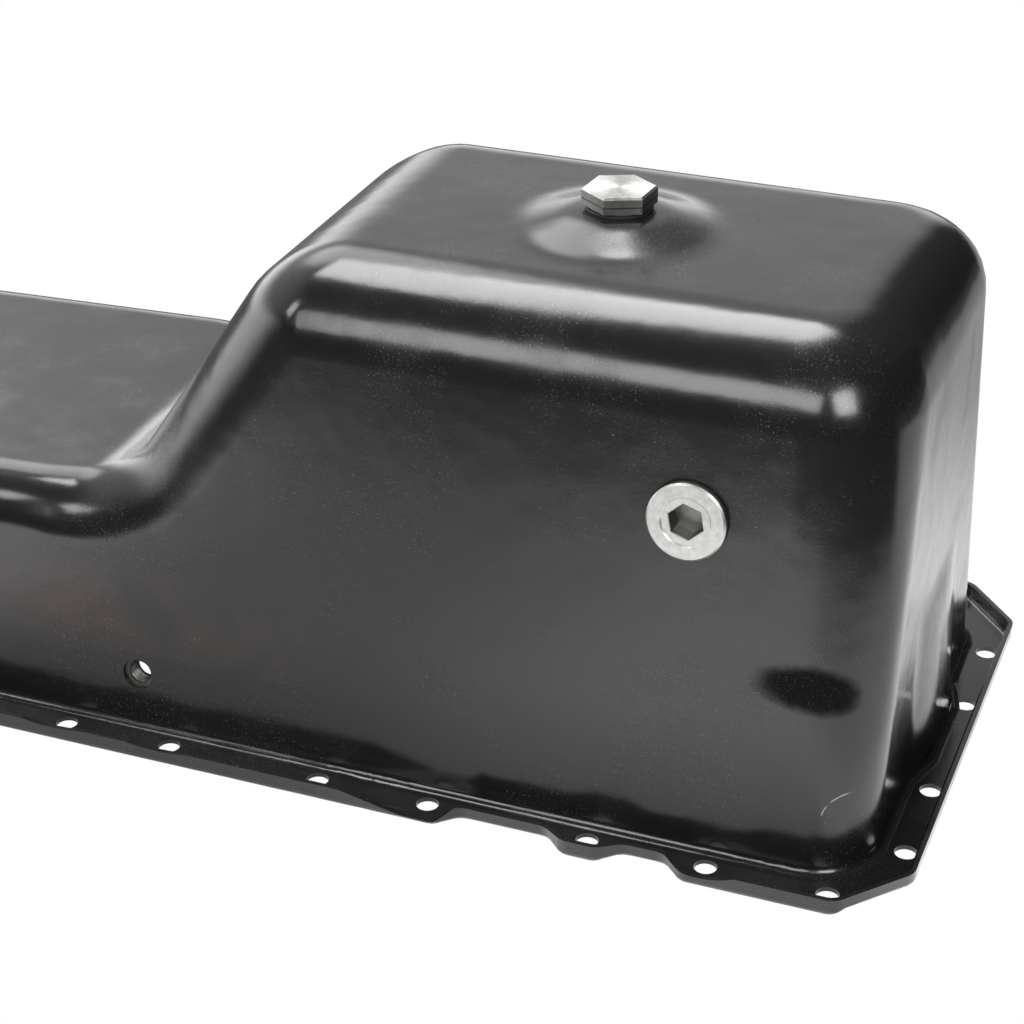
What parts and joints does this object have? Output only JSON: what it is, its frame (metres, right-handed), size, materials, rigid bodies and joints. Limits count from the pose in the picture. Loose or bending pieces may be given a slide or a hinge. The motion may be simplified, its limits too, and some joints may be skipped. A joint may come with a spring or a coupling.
{
  "type": "engine oil pan",
  "caption": "Pressed steel engine oil pan with a rear sump, a bolted flange with a turned-up lip, a domed drain plug and a side plug.",
  "frame": {"origin": "middle of the pan's bounding box on the gasket plane, which is what the pan stands on", "axes": "+X along the pan towards the sump end, +Y across it away from the side plug, +Z from the gasket face towards the drain plug"},
  "size_m": [0.761, 0.262, 0.2361],
  "materials": {
    "black_paint": "gloss",
    "bare_steel": "satin",
    "zinc_steel": "satin",
    "seal_rubber": "matt"
  },
  "bodies": {
    "pan": {"pan_pressing": "black_paint", "drain_boss": "bare_steel", "side_boss": "bare_steel", "rail_bung": "bare_steel"},
    "drain_washer": {"drain_plug_washer": "seal_rubber"},
    "drain_screw": {"drain_plug": "zinc_steel"},
    "side_ring": {"side_plug_ring": "seal_rubber"},
    "side_screw": {"side_plug": "zinc_steel"}
  },
  "joints": [
    {"name": "drain_plug_rise", "type": "slide", "parent": "pan", "child": "drain_washer", "axis": [0, 0, 1], "range_m": [0, 0.015]},
    {"name": "drain_plug_turn", "type": "hinge", "parent": "drain_washer", "child": "drain_screw", "pos_m": [0.2185, 0, 0.2271], "axis": [0, 0, 1], "range_deg": [0, 3600]},
    {"name": "side_plug_rise", "type": "slide", "parent": "pan", "child": "side_ring", "axis": [0, -0.9954, 0.0958], "range_m": [0, 0.0135]},
    {"name": "side_plug_turn", "type": "hinge", "parent": "side_ring", "child": "side_screw", "pos_m": [0.2805, -0.09608, 0.1446], "axis": [0, -0.9954, 0.0958], "range_deg": [0, 3240]}
  ],
  "couplings": [
    {"joint": "drain_plug_rise", "follows": "drain_plug_turn", "m_per_rad": 0.00023873},
    {"joint": "side_plug_rise", "follows": "side_plug_turn", "m_per_rad": 0.00023873}
  ]
}
